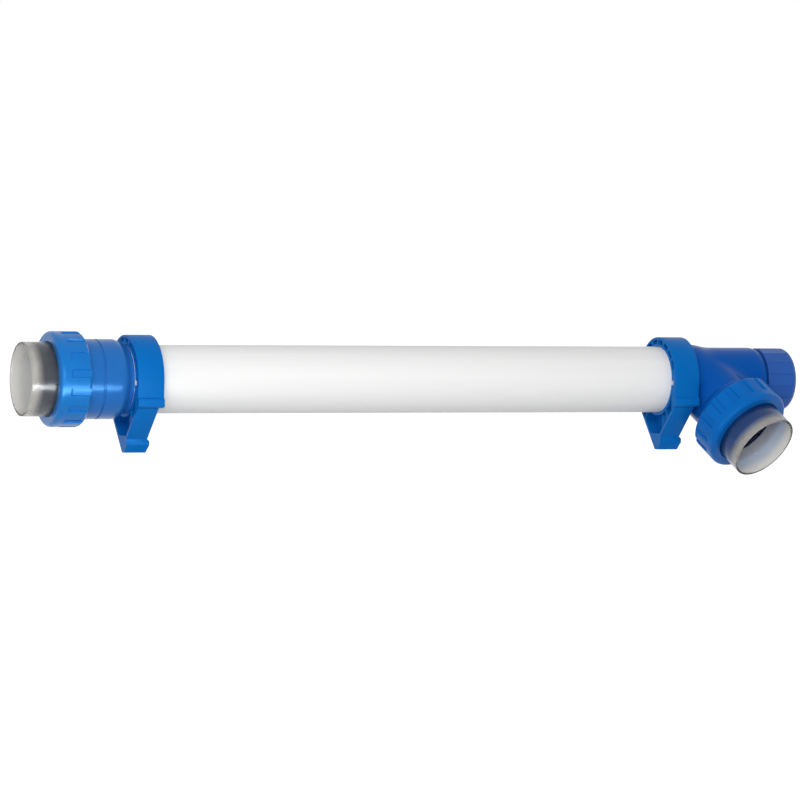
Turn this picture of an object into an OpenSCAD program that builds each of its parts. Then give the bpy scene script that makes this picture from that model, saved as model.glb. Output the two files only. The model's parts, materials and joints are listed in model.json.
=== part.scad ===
// In-line water clarifier: a pressure pipe with a lamp in a quartz sleeve, a union at each water
// port, and two hinged pipe clips. The pipe runs along X, the inlet is at -X, and the clips' feet
// stand on Z = 0 with the origin midway between their screw holes.

/* [Reactor pipe] */
// Outside diameter of the pressure pipe
pipe_od = 90; // [88:1:92]
// Wall of the pressure pipe
pipe_wall = 4.3; // [4:0.1:4.6]
// Length of the pressure pipe
pipe_len = 810; // [760:10:860]
// Height of the pipe's axis above the mounting plane
axis_h = 96; // [94:1:110]

/* [Unions] */
// Outside diameter of the clear socket tails
tail_od = 97; // [96:0.5:98]
// Length of a tail from its sealing face to its mouth
tail_len = 51; // [46:1:60]
// Depth of the solvent socket in a tail
socket_depth = 45; // [38:1:45]
// Outside diameter of the union nuts
nut_od = 125; // [120:1:126]
// Length of the union nuts
nut_len = 43; // [38:1:44]
// Grip recesses around a union nut
nut_grips = 16; // [12:1:20]
// Turn of the grip recesses about the nut's axis
grip_turn = 8; // [0:0.5:22.5]

/* [Outlet tee] */
// Where the branch meets the run, measured from the end of the pipe
branch_offset = 29; // [24:1:30]
// Angle between the branch and the run
branch_lean = 72; // [71:0.5:75]
// Turn of the branch about the run, from straight down at 0 to straight out to the front at 90
branch_roll = 50; // [0:1:90]
// Distance from the run's axis to the branch's sealing face
branch_reach = 96.5; // [96.5:0.5:115]

/* [End cap] */
// Width across the flats of the end cap
cap_d = 86; // [84:1:88]
// Length of the end cap
cap_len = 46; // [45:1:50]
// Flats around the end cap
cap_flats = 16; // [12:1:24]

/* [Lamp and sleeve] */
// Outside diameter of the lamp tube
lamp_d = 16; // [15:0.5:17]
// Length of the lamp from its far cap to its pin tips
lamp_len = 843; // [700:1:860]
// Outside diameter of the quartz sleeve
sleeve_d = 25; // [24.6:0.1:25]
// Wall of the quartz sleeve
sleeve_wall = 1.5; // [1:0.1:1.5]

/* [Pipe clips] */
// Distance between the screw holes of the two clips
clip_spacing = 773; // [700:1:773]
// Width of a clip along the pipe
clip_w = 36; // [34:1:36]
// Thickness of a clip's strap
strap_t = 12.7; // [11:0.1:14]
// Radius of the screw hole in a foot
screw_r = 3.5; // [2.5:0.25:4]
// Radius of the strap's hinge pin
pin_r = 2.5; // [2:0.25:3]

/* [Hidden] */

$fn = 96;
eps = 0.01;
gap = 0.3;         // room between pieces that move past each other
bond_gap = 0.15;   // room for solvent cement between glued pieces

bracket_blue = [0.07, 0.42, 0.75];
fitting_blue = [0.20, 0.47, 0.78];
tee_blue = [0.05, 0.30, 0.64];
cap_blue = [0.20, 0.32, 0.65];
pipe_white = [0.93, 0.93, 0.93];
clear_grey = [0.75, 0.75, 0.75, 0.6];
quartz_clear = [0.90, 0.95, 0.97, 0.5];
seal_black = [0.08, 0.08, 0.08];
ceramic_white = [0.95, 0.94, 0.90];
pin_metal = [0.80, 0.80, 0.82];
gland_black = [0.12, 0.12, 0.13];

pipe_r = pipe_od / 2;
pipe_bore_r = pipe_r - pipe_wall;
pipe_end = pipe_len / 2;

// Glued joints inside the pipe
spigot_r = pipe_bore_r - bond_gap;
spigot_len = 40;
spigot_bore_r = 36;

// Union, in a frame whose +Z leaves the fitting and whose Z = 0 is the tail's sealing face
flow_r = 40;
tail_r = tail_od / 2;
tail_flange_r = tail_r + 3;
tail_flange_t = 8;
socket_r = pipe_r + 0.2;
thread_crest_r = tail_flange_r + 0.5;
thread_root_r = thread_crest_r - 1.5;
thread_pitch = 4;
neck_len = 28;
thread_ridges = 6;
ring_seat_r = (flow_r + thread_root_r) / 2;
ring_r = 2;
ring_depth = 2 * ring_r + gap + 0.35;
nut_r = nut_od / 2;
nut_bore_r = thread_crest_r + 0.4;
nut_lip = 8;
nut_face = tail_flange_t + gap + nut_lip;
nut_back = nut_face - nut_len;
nut_opening_r = tail_r + 0.5;
nut_fillet = nut_r - nut_opening_r - 1;
nut_chamfer = 3.5;
grip_depth = 2.5;
grip_angle = 9;
grip_stop = nut_face - nut_fillet - 2;

// Inlet adaptor, from the pipe's end outwards
collar_r = pipe_r + 7.5;
shoulder_r = pipe_r + 1;
shoulder_len = 6;
rounding_len = 13;
barrel_len = 21;
groove_w = 3;
groove_depth = 1.5;
collar_len = 18;
inlet_face = pipe_end + shoulder_len + rounding_len + barrel_len + groove_w + collar_len + neck_len;
adaptor_root = pipe_end - inlet_face;

// Outlet tee, along X from the pipe's end
tee_r = pipe_r - 1;
bead_r = pipe_r + 3;
bead_len = 16;
bead_taper = 18;
run_end = pipe_end + 103;
taper_len = 9;
neck_start = run_end + taper_len;
cap_neck_len = 26;
neck_end = neck_start + cap_neck_len;
cap_crest_r = cap_d / 2 - 5;
cap_root_r = cap_crest_r - 1.5;
cap_neck_bore_r = cap_root_r - 4;
branch_x = pipe_end + branch_offset;
branch_r = tee_r - 0.5;
branch_collar_r = thread_root_r - 0.5;
branch_collar_len = 8;
branch_bore_r = flow_r - 0.5;

// End cap and cable gland
cap_start = neck_start + 2;
cap_end = cap_start + cap_len;
cap_bore_r = cap_crest_r + gap;
cap_seat = neck_end + 5;
cap_wall_in = cap_end - 12;
cap_wall_out = cap_end - 8;
cap_round = 14;
recess_r = 16;
gland_hole_r = 8;
gland_hex_r = 11;
gland_hex_t = 4;
gland_thread_r = 7;
gland_thread_end = cap_wall_out + 10;
gland_bore_r = 5.6;
bush_r = 5.5;
bush_len = 10;
cable_r = 4.2;
gland_nut_end = cap_wall_out + 14;

// Lamp and sleeve
sleeve_r = sleeve_d / 2;
sleeve_in_r = sleeve_r - sleeve_wall;
gasket_t = 1.5;
flange_end = cap_seat - gap;
plug_len = 24;
plug_start = neck_end + gasket_t - plug_len;
packing_r = sleeve_r + 4.5;
packing_start = flange_end - 9.7;
packing_ring_r = 2.2;
sleeve_nut_len = 4.8;
sleeve_open = flange_end - 5.2;
sleeve_tip = 10 - pipe_end;
support_x = spigot_len + 5 - pipe_end;
support_len = 20;
lamp_r = lamp_d / 2;
pin_len = 8;
pin_circle = 4;
contact_r = 1.2;
base_len = 23;
base_face = flange_end - 39.7;
far_cap_len = 16;
lamp_tip = base_face + pin_len - lamp_len;
socket_end = flange_end + 3.3;
lamp_socket_r = 10;

// Pipe clips, in the clip's own frame: Y across the pipe, Z up, zero on the pipe's axis
clip_x = clip_spacing / 2;
strap_in_r = pipe_r + gap;
strap_out_r = strap_in_r + strap_t;
cradle_r = pipe_r + bond_gap;
wall_y = 51;
leg_in_y = wall_y + 0.6;
wall_top = -4;
front_wall_top = -7;
lip_y = strap_out_r + 2;
lip_top = -24;
lip_foot = -34;
leg_end = -36;
ledge = -36.5;
ledge_y = strap_out_r - 2;
foot_y = 11.5;
base_y = 5;
plate_foot = 18 - axis_h;
back_y = base_y + (ledge_y - base_y) * (plate_foot + axis_h) / (ledge + axis_h);
foot_low = 10 - axis_h;
plate_t = 4;
web_t = 6;
boss_r = 9;
head_r = 8;
head_seat = 14 - axis_h;
pad_grow = 3;
base_left = -clip_w / 2;
base_right = clip_w / 2 - 7;
hinge_y = strap_out_r + 2;
knuckle_r = 6;
knuckle_w = 15;
knuckle_gap = 0.5;
pocket_count = 8;
pocket_from = 14;
pocket_to = 166;
pocket_rib = 4;
pocket_wall = 3.5;
pocket_depth = 13;

// Points along an arc about (cx, cy), as pairs
function arc(cx, cy, r, from, to, steps = 8) =
    [for (i = [0:steps]) let (a = from + (to - from) * i / steps) [cx + r * cos(a), cy + r * sin(a)]];

// Outline of annular thread ridges that run down from the height `top`
function ridges(top, crest, root, pitch, count) = [
    for (i = [0:count - 1], p = [[root, 0.1], [crest, 0.4], [crest, 0.6], [root, 0.9]])
        [p[0], top - (i + p[1]) * pitch]
];

// Revolves an outline of [radius, x] about the pipe's axis
module turned(outline) {
    translate([0, 0, axis_h])
        rotate([0, 90, 0])
            rotate_extrude()
                polygon(outline);
}

// Extrudes a [y, z] outline along X, centred on X = 0
module across(width) {
    rotate([90, 0, 90])
        linear_extrude(width, center = true)
            children();
}

module at_inlet() {
    translate([-inlet_face, 0, axis_h])
        rotate([0, -90, 0])
            children();
}

module at_branch() {
    translate([branch_x, 0, axis_h])
        rotate([180 - branch_roll, 0, 0])
            rotate([0, 90 - branch_lean, 0])
                children();
}

module at_outlet() {
    at_branch()
        translate([0, 0, branch_reach])
            children();
}

module reactor_tube() {
    color(pipe_white)
        turned([[pipe_bore_r, -pipe_end], [pipe_r, -pipe_end], [pipe_r, pipe_end], [pipe_bore_r, pipe_end]]);
}

// Face of a threaded neck with its ring seat, and the thread below it
neck_face_outline = [
    [flow_r, -gap],
    [ring_seat_r - ring_r - 0.1, -gap],
    [ring_seat_r - ring_r - 0.1, -ring_depth],
    [ring_seat_r + ring_r + 0.1, -ring_depth],
    [ring_seat_r + ring_r + 0.1, -gap],
    [thread_root_r, -gap]
];
neck_thread_outline = ridges(-2, thread_crest_r, thread_root_r, thread_pitch, thread_ridges);

module inlet_adaptor() {
    collar_end = -neck_len - collar_len;
    barrel_end = collar_end - groove_w - barrel_len;
    rounding_r = (rounding_len * rounding_len / (collar_r - shoulder_r) + collar_r - shoulder_r) / 2;
    rounding_angle = asin(rounding_len / rounding_r);
    color(fitting_blue)
        at_inlet()
            rotate_extrude()
                polygon(concat(
                    neck_face_outline,
                    neck_thread_outline,
                    [
                        [thread_root_r, -neck_len],
                        [collar_r - 1, -neck_len],
                        [collar_r, -neck_len - 1],
                        [collar_r, collar_end],
                        [collar_r - groove_depth, collar_end - 0.5],
                        [collar_r - groove_depth, collar_end - groove_w + 0.5],
                        [collar_r, collar_end - groove_w]
                    ],
                    arc(collar_r - rounding_r, barrel_end, rounding_r, 0, -rounding_angle),
                    [
                        [shoulder_r, adaptor_root],
                        [spigot_r, adaptor_root],
                        [spigot_r, adaptor_root - spigot_len],
                        [spigot_bore_r, adaptor_root - spigot_len],
                        [spigot_bore_r, adaptor_root + 30],
                        [flow_r, adaptor_root + 34]
                    ]
                ));
}

module union_seal() {
    color(seal_black)
        rotate_extrude()
            translate([ring_seat_r, -ring_depth + ring_r + 0.05])
                circle(ring_r);
}

module inlet_union_seal() {
    at_inlet() union_seal();
}

module outlet_union_seal() {
    at_outlet() union_seal();
}

module union_tail() {
    mouth_round = 0.8;
    ledge_z = tail_len - socket_depth;
    color(clear_grey)
        rotate_extrude()
            polygon(concat(
                [
                    [flow_r, 0],
                    [tail_flange_r, 0],
                    [tail_flange_r, tail_flange_t],
                    [tail_r, tail_flange_t]
                ],
                arc(tail_r - mouth_round, tail_len - mouth_round, mouth_round, 0, 90, 4),
                [
                    [socket_r, tail_len],
                    [socket_r, ledge_z],
                    [flow_r, ledge_z]
                ]
            ));
}

module inlet_tail() {
    at_inlet() union_tail();
}

module outlet_tail() {
    at_outlet() union_tail();
}

module union_nut() {
    color(fitting_blue)
        difference() {
            rotate_extrude()
                polygon(concat(
                    [
                        [nut_bore_r, nut_back],
                        [nut_r - nut_chamfer, nut_back],
                        [nut_r, nut_back + nut_chamfer]
                    ],
                    arc(nut_r - nut_fillet, nut_face - nut_fillet, nut_fillet, 0, 90),
                    [
                        [nut_opening_r, nut_face],
                        [nut_opening_r, nut_face - nut_lip],
                        [nut_bore_r, nut_face - nut_lip]
                    ]
                ));
            for (i = [0:nut_grips - 1])
                rotate([0, 0, i * 360 / nut_grips - grip_angle / 2 + grip_turn])
                    translate([0, 0, nut_back - eps])
                        rotate_extrude(angle = grip_angle)
                            translate([nut_r - grip_depth, 0])
                                square([2 * grip_depth, grip_stop - nut_back]);
        }
}

module inlet_union_nut() {
    at_inlet() union_nut();
}

module outlet_union_nut() {
    at_outlet() union_nut();
}

module outlet_tee() {
    color(tee_blue)
        difference() {
            union() {
                turned(concat(
                    [
                        [0, pipe_end - spigot_len],
                        [spigot_r, pipe_end - spigot_len],
                        [spigot_r, pipe_end],
                        [bead_r - 1, pipe_end],
                        [bead_r, pipe_end + 1],
                        [bead_r, pipe_end + bead_len],
                        [tee_r, pipe_end + bead_len + bead_taper],
                        [tee_r, run_end],
                        [cap_crest_r + 3, neck_start],
                        [cap_root_r, neck_start]
                    ],
                    [
                        for (p = ridges(-2, cap_crest_r, cap_root_r, thread_pitch, thread_ridges))
                            [p[0], neck_start - p[1]]
                    ],
                    [
                        [cap_root_r, neck_end],
                        [0, neck_end]
                    ]
                ));
                intersection() {
                    at_outlet()
                        rotate_extrude()
                            polygon(concat(
                                [[0, -gap], [thread_root_r, -gap]],
                                neck_thread_outline,
                                [
                                    [thread_root_r, -neck_len],
                                    [branch_collar_r, -neck_len],
                                    [branch_collar_r, -neck_len - branch_collar_len],
                                    [branch_r, -neck_len - branch_collar_len - 4],
                                    [branch_r, -branch_reach],
                                    [0, -branch_reach]
                                ]
                            ));
                    translate([pipe_end, -2 * branch_reach, -branch_reach])
                        cube([4 * branch_reach, 4 * branch_reach, 4 * branch_reach]);
                }
            }
            turned([
                [0, pipe_end - spigot_len - eps],
                [spigot_bore_r, pipe_end - spigot_len - eps],
                [spigot_bore_r, pipe_end],
                [flow_r, pipe_end + 4],
                [flow_r, run_end - 8],
                [cap_neck_bore_r, run_end],
                [cap_neck_bore_r, neck_end + eps],
                [0, neck_end + eps]
            ]);
            at_branch()
                cylinder(r = branch_bore_r, h = branch_reach + eps);
            at_outlet()
                translate([0, 0, -ring_depth])
                    rotate_extrude()
                        translate([ring_seat_r - ring_r - 0.1, 0])
                            square([2 * ring_r + 0.2, ring_depth]);
        }
}

// Spider that centres the blind end of the sleeve
module sleeve_support() {
    hub_r = sleeve_r + 4;
    rim_r = pipe_bore_r - 0.2;
    rim_t = 3;
    leg_t = 3;
    legs = 3;
    module ring(outer, inner) {
        rotate_extrude()
            translate([inner, 0])
                square([outer - inner, support_len]);
    }
    color(pipe_white)
        translate([support_x, 0, axis_h])
            rotate([0, 90, 0]) {
                ring(hub_r, sleeve_r + 0.4);
                ring(rim_r, rim_r - rim_t);
                for (i = [0:legs - 1])
                    rotate([0, 0, i * 360 / legs])
                        translate([hub_r - 1, -leg_t / 2, 2])
                            cube([rim_r - rim_t - hub_r + 2, leg_t, support_len - 4]);
            }
}

module quartz_sleeve() {
    dome_x = sleeve_tip + sleeve_r;
    color(quartz_clear)
        turned(concat(
            arc(0, dome_x, sleeve_r, -90, 0),
            [[sleeve_r, sleeve_open], [sleeve_in_r, sleeve_open]],
            arc(0, dome_x, sleeve_in_r, 0, -90)
        ));
}

module sleeve_flange() {
    flange_r = cap_root_r + 1;
    color(ceramic_white)
        turned([
            [sleeve_r + 0.4, plug_start],
            [cap_neck_bore_r - gap, plug_start],
            [cap_neck_bore_r - gap, neck_end + gasket_t],
            [flange_r, neck_end + gasket_t],
            [flange_r, flange_end],
            [packing_r, flange_end],
            [packing_r, packing_start],
            [sleeve_r + 0.4, packing_start]
        ]);
}

module sleeve_seal() {
    color(seal_black)
        translate([packing_start + packing_ring_r + 0.05, 0, axis_h])
            rotate([0, 90, 0])
                rotate_extrude()
                    translate([(sleeve_r + packing_r) / 2, 0])
                        circle(packing_ring_r);
}

module flange_seal() {
    color(seal_black)
        turned([
            [cap_neck_bore_r, neck_end],
            [cap_root_r - 0.2, neck_end],
            [cap_root_r - 0.2, neck_end + gasket_t],
            [cap_neck_bore_r, neck_end + gasket_t]
        ]);
}

module sleeve_nut() {
    slot_w = 3;
    slot_depth = 2;
    nut_start = flange_end - sleeve_nut_len;
    color(ceramic_white)
        difference() {
            turned([
                [lamp_socket_r + 0.6, nut_start],
                [packing_r - 0.2, nut_start],
                [packing_r - 0.2, flange_end],
                [lamp_socket_r + 0.6, flange_end]
            ]);
            for (turn = [0, 90])
                translate([flange_end, 0, axis_h])
                    rotate([turn, 0, 0])
                        cube([2 * slot_depth, slot_w, 3 * packing_r], center = true);
        }
}

module lamp_glass() {
    glass_t = 0.8;
    color(quartz_clear)
        turned([
            [lamp_r - glass_t, lamp_tip + far_cap_len],
            [lamp_r, lamp_tip + far_cap_len],
            [lamp_r, base_face - base_len],
            [lamp_r - glass_t, base_face - base_len]
        ]);
}

module lamp_far_cap() {
    round_r = 4;
    cap_r = lamp_r + 0.4;
    color(ceramic_white)
        turned(concat(
            [[0, lamp_tip]],
            arc(cap_r - round_r, lamp_tip + round_r, round_r, -90, 0, 4),
            [[cap_r, lamp_tip + far_cap_len], [0, lamp_tip + far_cap_len]]
        ));
}

module lamp_base() {
    base_r = lamp_r + 0.5;
    color(ceramic_white)
        turned([
            [0, base_face - base_len],
            [base_r, base_face - base_len],
            [base_r, base_face - 1],
            [base_r - 1, base_face],
            [0, base_face]
        ]);
}

module at_pins() {
    for (turn = [45:90:315])
        translate([base_face, 0, axis_h])
            rotate([turn, 0, 0])
                translate([0, 0, pin_circle])
                    rotate([0, 90, 0])
                        children();
}

module lamp_pins() {
    color(pin_metal)
        at_pins() cylinder(r = contact_r, h = pin_len);
}

module lamp_socket() {
    color(ceramic_white)
        difference() {
            turned([
                [0, base_face],
                [lamp_socket_r - 1, base_face],
                [lamp_socket_r, base_face + 1],
                [lamp_socket_r, socket_end - 6],
                [lamp_socket_r - 4, socket_end],
                [0, socket_end]
            ]);
            at_pins()
                translate([0, 0, -eps])
                    cylinder(r = contact_r + 0.1, h = pin_len + 1);
        }
}

module end_cap() {
    corner_r = cap_d / 2 / cos(180 / cap_flats);
    color(cap_blue)
        difference() {
            intersection() {
                translate([cap_start, 0, axis_h])
                    rotate([0, 90, 0])
                        linear_extrude(cap_len)
                            polygon([
                                for (i = [0:cap_flats - 1])
                                    let (a = (i + 0.5) * 360 / cap_flats) corner_r * [cos(a), sin(a)]
                            ]);
                turned(concat(
                    [
                        [0, cap_start],
                        [corner_r - 1.5, cap_start],
                        [corner_r + 0.1, cap_start + 1.6]
                    ],
                    arc(corner_r + 0.1 - cap_round, cap_end - cap_round, cap_round, 0, 90),
                    [[0, cap_end]]
                ));
            }
            turned([
                [0, cap_start - eps],
                [cap_bore_r, cap_start - eps],
                [cap_bore_r, cap_seat],
                [cap_root_r - 0.5, cap_seat],
                [cap_root_r - 0.5, cap_wall_in],
                [gland_hole_r, cap_wall_in],
                [gland_hole_r, cap_wall_out],
                [recess_r, cap_wall_out],
                [recess_r, cap_end + eps],
                [0, cap_end + eps]
            ]);
        }
}

module gland_body() {
    color(gland_black)
        difference() {
            union() {
                translate([cap_wall_out, 0, axis_h])
                    rotate([0, 90, 0])
                        cylinder(r = gland_hex_r, h = gland_hex_t, $fn = 6);
                turned([
                    [0, cap_wall_in],
                    [gland_hole_r - 0.05, cap_wall_in],
                    [gland_hole_r - 0.05, cap_wall_out],
                    [gland_thread_r, cap_wall_out],
                    [gland_thread_r, gland_thread_end],
                    [0, gland_thread_end]
                ]);
            }
            turned([
                [0, cap_wall_in - eps],
                [gland_bore_r, cap_wall_in - eps],
                [gland_bore_r, gland_thread_end + eps],
                [0, gland_thread_end + eps]
            ]);
        }
}

module gland_seal() {
    color(seal_black)
        turned([
            [cable_r, gland_thread_end - bush_len],
            [bush_r, gland_thread_end - bush_len],
            [bush_r, gland_thread_end],
            [cable_r, gland_thread_end]
        ]);
}

module gland_nut() {
    nut_start = cap_wall_out + gland_hex_t + gap;
    nut_hex_r = gland_hex_r - 0.5;
    color(gland_black)
        difference() {
            intersection() {
                translate([nut_start, 0, axis_h])
                    rotate([0, 90, 0])
                        cylinder(r = nut_hex_r, h = gland_nut_end - nut_start, $fn = 6);
                turned(concat(
                    [[0, nut_start], [nut_hex_r + 1, nut_start]],
                    arc(nut_hex_r - 4, gland_nut_end - 5, 5, 0, 90, 6),
                    [[0, gland_nut_end]]
                ));
            }
            turned([
                [0, nut_start - eps],
                [gland_thread_r + gap, nut_start - eps],
                [gland_thread_r + gap, gland_thread_end + gap],
                [cable_r + 0.6, gland_thread_end + gap],
                [cable_r + 0.6, gland_nut_end + eps],
                [0, gland_nut_end + eps]
            ]);
        }
}

module at_hinge(width, radius) {
    translate([0, hinge_y, 0])
        rotate([0, 90, 0])
            cylinder(r = radius, h = width, center = true);
}

// Where the saddle's two outer hinge knuckles lie along the pin
knuckle_from = knuckle_w / 2 + knuckle_gap;
knuckle_len = clip_w / 2 - knuckle_from;

module on_outer_knuckles() {
    for (side = [-1, 1])
        translate([side * (knuckle_from + knuckle_len / 2), 0, 0])
            children();
}

module strap() {
    pocket_pitch = (pocket_to - pocket_from) / pocket_count;
    leg_root = -2;
    leg_root_y = strap_out_r - 1.5;
    color(bracket_blue)
        difference() {
            union() {
                across(clip_w)
                    union() {
                        intersection() {
                            difference() {
                                circle(strap_out_r);
                                circle(strap_in_r);
                            }
                            union() {
                                translate([-2 * strap_out_r, 0])
                                    square([4 * strap_out_r, 2 * strap_out_r]);
                                translate([-2 * strap_out_r, leg_end / 2])
                                    square([2 * strap_out_r - leg_in_y, strap_out_r]);
                            }
                        }
                        polygon([
                            [-leg_in_y, leg_root],
                            [-leg_in_y, leg_end],
                            [-ledge_y, leg_end],
                            [-lip_y, lip_foot],
                            [-lip_y, lip_top],
                            [-leg_root_y - 0.5, lip_top],
                            [-leg_root_y, leg_root]
                        ]);
                    }
                at_hinge(knuckle_w, knuckle_r);
            }
            at_hinge(2 * clip_w, pin_r + 0.05);
            for (side = [-1, 1])
                translate([side * (knuckle_w + clip_w) / 2, 0, 0])
                    at_hinge(clip_w, knuckle_r + 0.5);
            for (i = [0:pocket_count - 1], side = [-1, 1])
                rotate([90, 0, 90])
                    rotate([0, 0, pocket_from + i * pocket_pitch + pocket_rib / 2])
                        rotate_extrude(angle = pocket_pitch - pocket_rib)
                            translate([strap_in_r + pocket_wall, side * clip_w / 2 - pocket_depth])
                                square([strap_t - 2 * pocket_wall, 2 * pocket_depth]);
        }
}

// Block under the sloping plates, drawn in towards the mounting plane
module saddle_foot() {
    intersection() {
        across(3 * clip_w)
            polygon([
                [-foot_y, plate_foot],
                [-foot_y, foot_low],
                [-base_y, -axis_h],
                [base_y, -axis_h],
                [back_y, plate_foot]
            ]);
        rotate([90, 0, 0])
            linear_extrude(4 * foot_y, center = true)
                polygon([
                    [base_left, plate_foot],
                    [base_left, -axis_h],
                    [base_right, -axis_h],
                    [base_right + pad_grow, foot_low],
                    [base_right + pad_grow, plate_foot - pad_grow],
                    [base_right, plate_foot]
                ]);
    }
}

module saddle() {
    pocket_y = cradle_r;
    pocket_low = plate_foot + plate_t;
    // For the sloping plate that ends at a distance `foot` from the middle: its slope, the height of its
    // inner face at a distance y, and the distance at which that face meets the pocket's floor
    function slope(foot) = (ledge - plate_foot) / (ledge_y - foot);
    function inset(foot) = plate_t * sqrt(1 + slope(foot) * slope(foot));
    function plate_in(foot, y) = plate_foot + slope(foot) * (y - foot) + inset(foot);
    function floor_y(foot) = foot + (pocket_low - inset(foot) - plate_foot) / slope(foot);
    color(bracket_blue)
        difference() {
            union() {
                difference() {
                    union() {
                        across(clip_w)
                            polygon([
                                [-wall_y, front_wall_top],
                                [-wall_y, ledge],
                                [wall_y, ledge],
                                [wall_y, wall_top]
                            ]);
                        translate([(base_left + base_right) / 2, 0, 0])
                            across(base_right - base_left)
                                polygon([
                                    [-wall_y + 1, ledge + 1],
                                    [-wall_y + 1, ledge],
                                    [-ledge_y, ledge],
                                    [-foot_y, plate_foot],
                                    [back_y, plate_foot],
                                    [ledge_y, ledge],
                                    [wall_y - 1, ledge],
                                    [wall_y - 1, ledge + 1]
                                ]);
                    }
                    for (side = [-1, 1])
                        translate([side * (clip_w + web_t) / 4 + side * eps, 0, 0])
                            across((clip_w - web_t) / 2 + eps)
                                difference() {
                                    polygon([
                                        [-pocket_y, wall_top],
                                        [-pocket_y, plate_in(foot_y, pocket_y)],
                                        [-floor_y(foot_y), pocket_low],
                                        [floor_y(back_y), pocket_low],
                                        [pocket_y, plate_in(back_y, pocket_y)],
                                        [pocket_y, wall_top]
                                    ]);
                                    circle(cradle_r + plate_t);
                                    for (rib = [-1, 1])
                                        rotate(rib * 33)
                                            translate([-plate_t / 4, -2 * cradle_r])
                                                square([plate_t / 2, 2 * cradle_r]);
                                }
                }
                translate([0, 0, foot_low])
                    cylinder(r = boss_r, h = -foot_low);
                saddle_foot();
                on_outer_knuckles() {
                    at_hinge(knuckle_len, knuckle_r);
                    across(knuckle_len)
                        polygon([
                            [wall_y - 1, wall_top],
                            [hinge_y, wall_top],
                            [hinge_y + 4, -4.4],
                            [wall_y - 1, -26]
                        ]);
                }
            }
            rotate([0, 90, 0])
                cylinder(r = cradle_r, h = 3 * clip_w, center = true);
            translate([0, 0, -axis_h - 1])
                cylinder(r = screw_r, h = axis_h);
            translate([0, 0, head_seat])
                cylinder(r = head_r, h = axis_h);
            at_hinge(3 * clip_w, pin_r);
        }
}

module strap_pin() {
    color(pin_metal)
        at_hinge(clip_w, pin_r);
}

module at_clip(side) {
    translate([side * clip_x, 0, axis_h])
        children();
}

module left_saddle() {
    at_clip(-1) saddle();
}

module left_strap() {
    at_clip(-1) strap();
}

module left_strap_pin() {
    at_clip(-1) strap_pin();
}

module right_saddle() {
    at_clip(1) saddle();
}

module right_strap() {
    at_clip(1) strap();
}

module right_strap_pin() {
    at_clip(1) strap_pin();
}

reactor_tube();
inlet_adaptor();
inlet_union_seal();
inlet_tail();
inlet_union_nut();
outlet_tee();
outlet_union_seal();
outlet_tail();
outlet_union_nut();
sleeve_support();
quartz_sleeve();
sleeve_flange();
sleeve_seal();
flange_seal();
sleeve_nut();
lamp_glass();
lamp_far_cap();
lamp_base();
lamp_pins();
lamp_socket();
end_cap();
gland_body();
gland_seal();
gland_nut();
left_saddle();
left_strap();
left_strap_pin();
right_saddle();
right_strap();
right_strap_pin();
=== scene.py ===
# %% [markdown]
# # An in-line water clarifier
# A white pressure pipe holds a lamp in a quartz sleeve. Blue moulded fittings close its ends, two clear
# socket tails join it to the pond's pipework, and two hinged clips carry it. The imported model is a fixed
# frame: it says where every piece lies, in metres, and each surface below is made around it.

import json
import math

import bmesh
import bpy
import numpy as np
from mathutils import Euler, Matrix, Vector

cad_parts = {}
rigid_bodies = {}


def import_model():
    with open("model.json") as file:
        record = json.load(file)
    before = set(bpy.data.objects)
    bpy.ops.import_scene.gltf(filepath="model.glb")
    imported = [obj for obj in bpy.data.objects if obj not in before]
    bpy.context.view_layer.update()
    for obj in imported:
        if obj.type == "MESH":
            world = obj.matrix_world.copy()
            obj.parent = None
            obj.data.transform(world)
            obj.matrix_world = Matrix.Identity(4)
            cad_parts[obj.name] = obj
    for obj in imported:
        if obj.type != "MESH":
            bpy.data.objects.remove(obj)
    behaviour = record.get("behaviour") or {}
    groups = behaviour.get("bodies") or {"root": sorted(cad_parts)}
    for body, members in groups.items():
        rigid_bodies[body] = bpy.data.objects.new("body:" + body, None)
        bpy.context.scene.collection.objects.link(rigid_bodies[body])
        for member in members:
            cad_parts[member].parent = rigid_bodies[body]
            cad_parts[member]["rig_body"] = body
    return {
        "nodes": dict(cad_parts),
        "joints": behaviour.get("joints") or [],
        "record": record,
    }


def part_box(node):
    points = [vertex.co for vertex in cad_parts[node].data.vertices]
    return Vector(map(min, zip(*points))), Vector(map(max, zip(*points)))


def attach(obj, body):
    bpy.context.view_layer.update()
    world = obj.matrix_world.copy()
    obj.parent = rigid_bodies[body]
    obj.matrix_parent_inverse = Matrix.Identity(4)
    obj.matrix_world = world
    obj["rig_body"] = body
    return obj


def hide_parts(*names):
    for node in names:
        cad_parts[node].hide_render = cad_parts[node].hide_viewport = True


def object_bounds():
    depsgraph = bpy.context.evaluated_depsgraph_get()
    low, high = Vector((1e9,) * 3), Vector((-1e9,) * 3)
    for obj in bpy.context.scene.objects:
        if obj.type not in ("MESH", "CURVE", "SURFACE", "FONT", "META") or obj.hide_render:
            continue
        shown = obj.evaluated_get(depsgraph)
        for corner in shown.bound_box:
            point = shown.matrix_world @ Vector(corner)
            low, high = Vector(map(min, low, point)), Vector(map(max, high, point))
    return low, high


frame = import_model()
cad_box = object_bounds()
MM = 0.001
JOINT = {joint["name"]: joint for joint in frame["joints"]}
MOUNT = {mount["name"]: mount for mount in frame["record"]["mounts"]}


def span(node):
    """Lowest and highest corner of a node's box, in millimetres."""
    low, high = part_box(node)
    return np.array(low) / MM, np.array(high) / MM


# %% [markdown]
# ## Camera
# The photograph was taken a few metres off to the front left, a little above the pipe, so a long lens at
# that distance keeps the near end only slightly larger than the far one. A short lens close by would
# show the same parts, but it would stretch the near union.

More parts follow.
